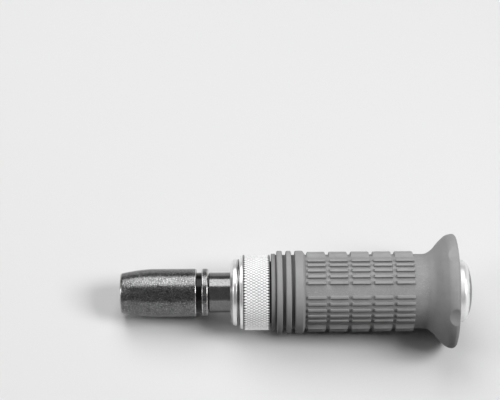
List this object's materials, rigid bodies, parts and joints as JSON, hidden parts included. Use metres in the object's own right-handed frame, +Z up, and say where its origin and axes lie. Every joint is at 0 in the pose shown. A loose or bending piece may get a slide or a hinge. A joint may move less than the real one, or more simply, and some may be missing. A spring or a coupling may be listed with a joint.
{
  "type": "hand impact driver",
  "caption": "Hand impact driver with a ribbed rubber grip and guard, knurled collar, square drive, hexagon bit holder and a cam that turns a blow on the cap into a twist.",
  "frame": {"origin": "on the tool's axis, half way between the nose of the bit holder and the struck face", "axes": "+X along the tool's axis from the bit holder towards the struck cap, +Z up, with the tool lying flat"},
  "size_m": [0.1614, 0.0528, 0.0526],
  "materials": {
    "holder_steel": "black oxide, satin",
    "clip_steel": "spring wire",
    "spindle_steel": "turned and ground, satin",
    "ball_steel": "polished",
    "detent_wire": "spring wire",
    "pin_steel": "ground",
    "cam_steel": "hardened",
    "dowel_steel": "ground",
    "bush_chrome": "polished",
    "seal_rubber": "matte",
    "washer_steel": "satin",
    "collar_chrome": "fine diamond knurl, polished",
    "barrel_steel": "turned",
    "cap_chrome": "polished",
    "roll_pin_steel": "spring steel",
    "seat_steel": "turned",
    "follower_steel": "turned",
    "spring_steel": "spring wire",
    "grip_rubber": "matte moulded rubber"
  },
  "bodies": {
    "housing": {"barrel": "barrel_steel", "strike_cap": "cap_chrome", "cap_roll_pin": "roll_pin_steel", "rubber_grip": "grip_rubber", "knurled_collar": "collar_chrome", "front_bush": "bush_chrome", "lock_washer": "washer_steel", "dust_seal": "seal_rubber", "cam_sleeve": "cam_steel", "cam_dowel_1": "dowel_steel", "cam_dowel_2": "dowel_steel", "spring_seat": "seat_steel", "main_spring": "spring_steel"},
    "follower": {"spring_follower": "follower_steel"},
    "spindle": {"spindle": "spindle_steel", "cross_pin": "pin_steel", "detent_spring": "detent_wire"},
    "ball": {"detent_ball": "ball_steel"},
    "holder": {"bit_holder": "holder_steel", "bit_clip": "clip_steel"}
  },
  "joints": [
    {"name": "spindle_push", "type": "slide", "parent": "housing", "child": "follower", "axis": [1, 0, 0], "range_m": [0, 0.008], "stiffness_N_per_m": 6000, "springref_m": -0.005, "deforming": ["main_spring"]},
    {"name": "spindle_turn", "type": "hinge", "parent": "follower", "child": "spindle", "pos_m": [0, 0, 0], "axis": [1, 0, 0], "range_deg": [0, 18]},
    {"name": "holder_pull", "type": "slide", "parent": "spindle", "child": "holder", "axis": [-1, 0, 0], "range_m": [0, 0.02]},
    {"name": "detent_ball_pop", "type": "slide", "parent": "spindle", "child": "ball", "axis": [0, -0.766, 0.6428], "range_m": [0, 0.0006], "deforming": ["detent_spring"]}
  ],
  "couplings": [
    {"joint": "spindle_turn", "follows": "spindle_push", "rad_per_m": 39.27},
    {"joint": "detent_ball_pop", "follows": "holder_pull", "ratio": 0.03}
  ]
}
